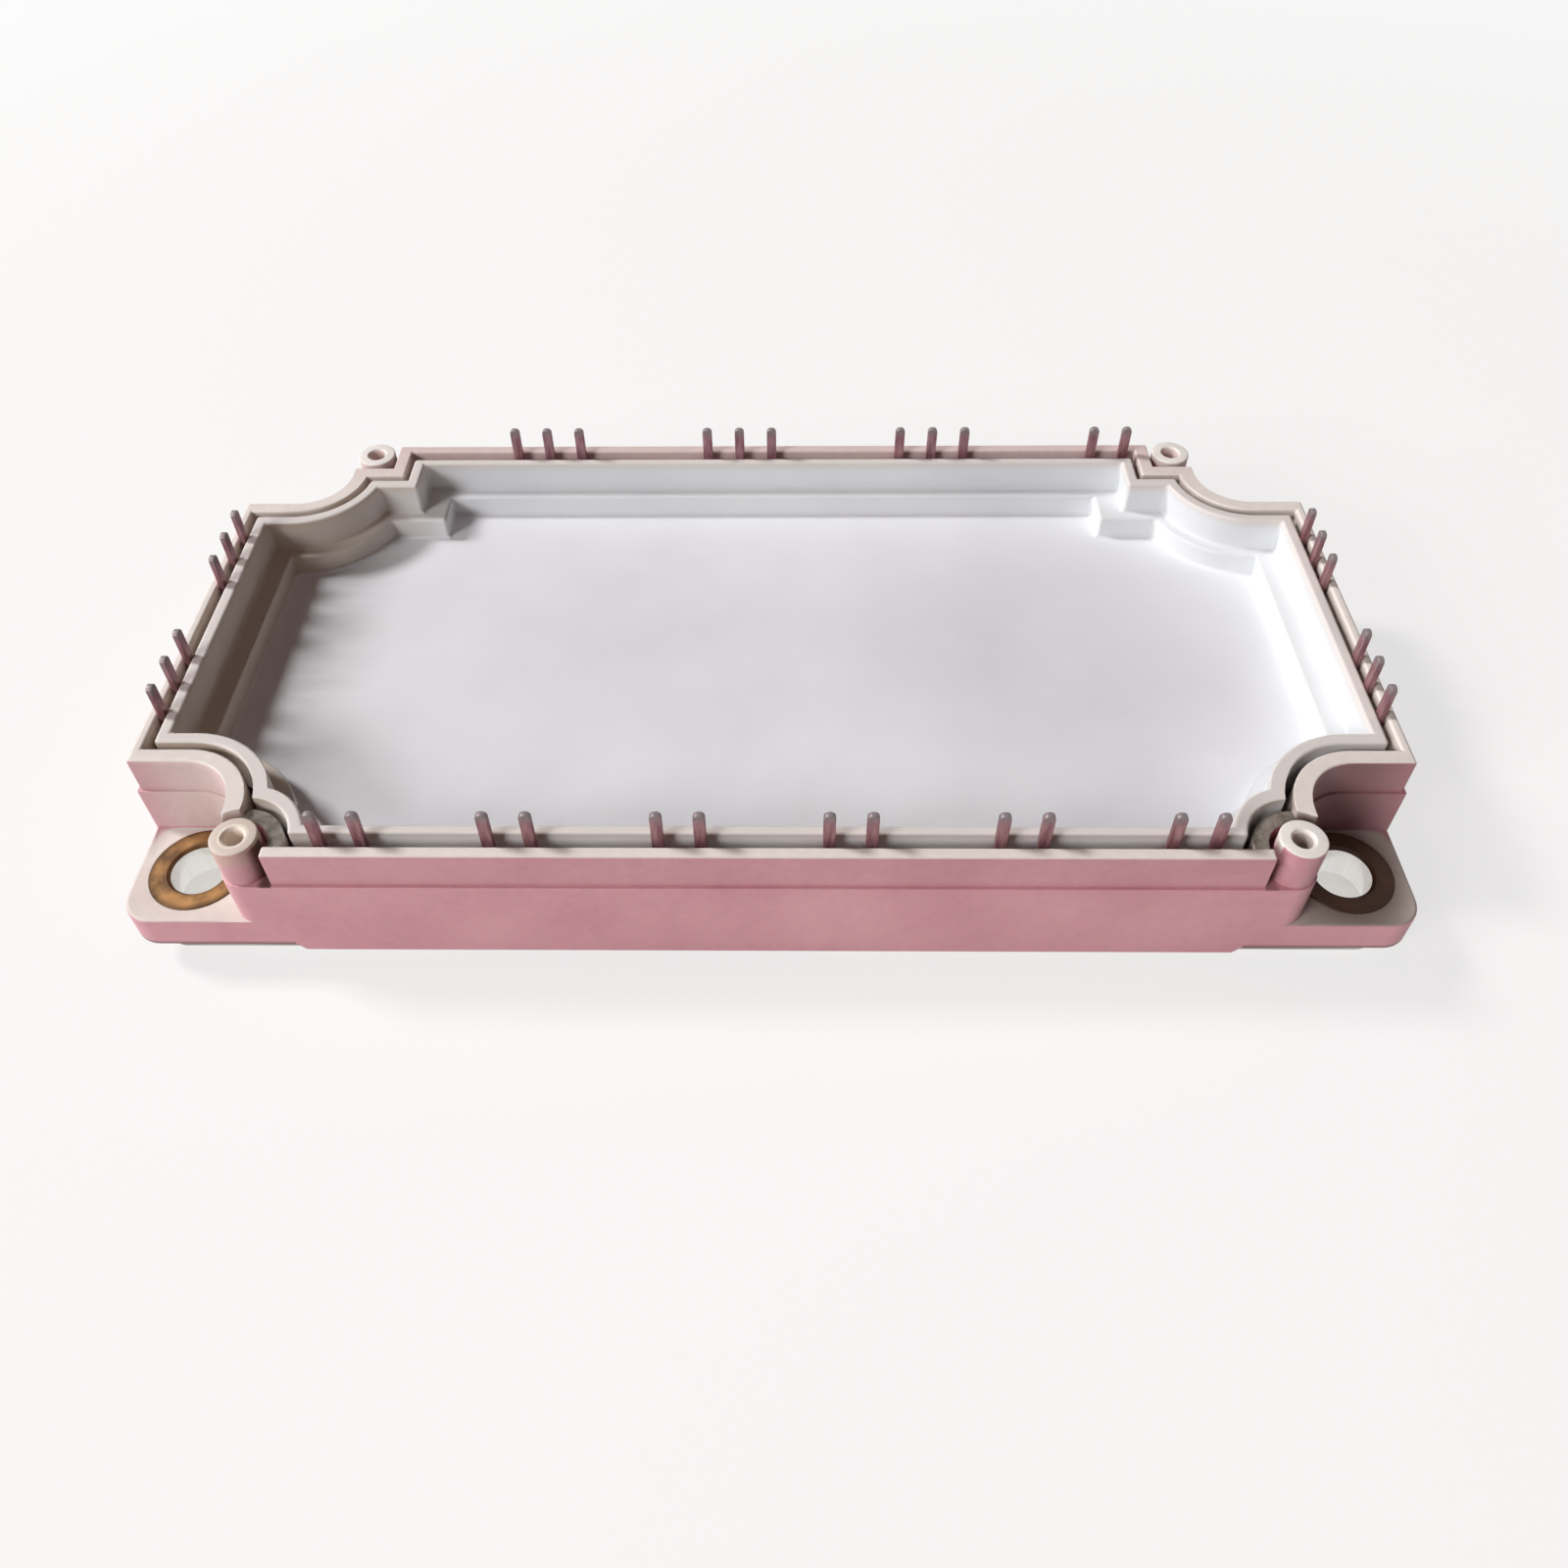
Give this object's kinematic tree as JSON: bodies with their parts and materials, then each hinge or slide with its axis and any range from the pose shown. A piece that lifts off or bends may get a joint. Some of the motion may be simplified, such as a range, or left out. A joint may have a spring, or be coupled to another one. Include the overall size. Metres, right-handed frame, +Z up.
{
  "type": "three-phase bridge power module",
  "caption": "Potted three-phase bridge power module: plastic frame with corner ears and standoffs, a sunk white tray lid, and solder pins along all four walls.",
  "frame": {"origin": "centre of the base plate's mounting face", "axes": "+X along the length, +Z up from the mounting face to the pins, -Y towards the row of pin pairs"},
  "size_m": [0.122, 0.062, 0.0205],
  "materials": {
    "frame_plastic": "moulded glass-filled plastic, satin",
    "lid_plastic": "moulded plastic, satin",
    "tinned_copper": "matt tin plating",
    "bush_brass": "turned",
    "nickel_plated_copper": "matt nickel plating over copper",
    "silicone_adhesive": "cured bead",
    "solder": "dull",
    "copper_clad_ceramic": "white ceramic with copper bonded to both faces",
    "silicon": "polished",
    "sensor_ceramic": "fired",
    "wire_aluminium": "drawn",
    "silicone_gel": "clear, soft"
  },
  "bodies": {
    "root": {"base_plate": "nickel_plated_copper", "plate_adhesive": "silicone_adhesive", "frame": "frame_plastic", "lid": "lid_plastic", "solder_layers": "solder", "thermistor": "sensor_ceramic", "gel_fill": "silicone_gel", "mounting_bush_1": "bush_brass", "mounting_bush_2": "bush_brass", "mounting_bush_3": "bush_brass", "mounting_bush_4": "bush_brass", "pin_front_01": "tinned_copper", "pin_front_02": "tinned_copper", "pin_front_03": "tinned_copper", "pin_front_04": "tinned_copper", "pin_front_05": "tinned_copper", "pin_front_06": "tinned_copper", "pin_front_07": "tinned_copper", "pin_front_08": "tinned_copper", "pin_front_09": "tinned_copper", "pin_front_10": "tinned_copper", "pin_front_11": "tinned_copper", "pin_front_12": "tinned_copper", "pin_back_01": "tinned_copper", "pin_back_02": "tinned_copper", "pin_back_03": "tinned_copper", "pin_back_04": "tinned_copper", "pin_back_05": "tinned_copper", "pin_back_06": "tinned_copper", "pin_back_07": "tinned_copper", "pin_back_08": "tinned_copper", "pin_back_09": "tinned_copper", "pin_back_10": "tinned_copper", "pin_back_11": "tinned_copper", "pin_left_1": "tinned_copper", "pin_left_2": "tinned_copper", "pin_left_3": "tinned_copper", "pin_left_4": "tinned_copper", "pin_left_5": "tinned_copper", "pin_left_6": "tinned_copper", "pin_right_1": "tinned_copper", "pin_right_2": "tinned_copper", "pin_right_3": "tinned_copper", "pin_right_4": "tinned_copper", "pin_right_5": "tinned_copper", "pin_right_6": "tinned_copper", "substrate_1": "copper_clad_ceramic", "transistor_chips_1": "silicon", "diode_chips_1": "silicon", "bond_wires_1": "wire_aluminium", "substrate_2": "copper_clad_ceramic", "transistor_chips_2": "silicon", "diode_chips_2": "silicon", "bond_wires_2": "wire_aluminium", "substrate_3": "copper_clad_ceramic", "transistor_chips_3": "silicon", "diode_chips_3": "silicon", "bond_wires_3": "wire_aluminium"}
  },
  "joints": []
}
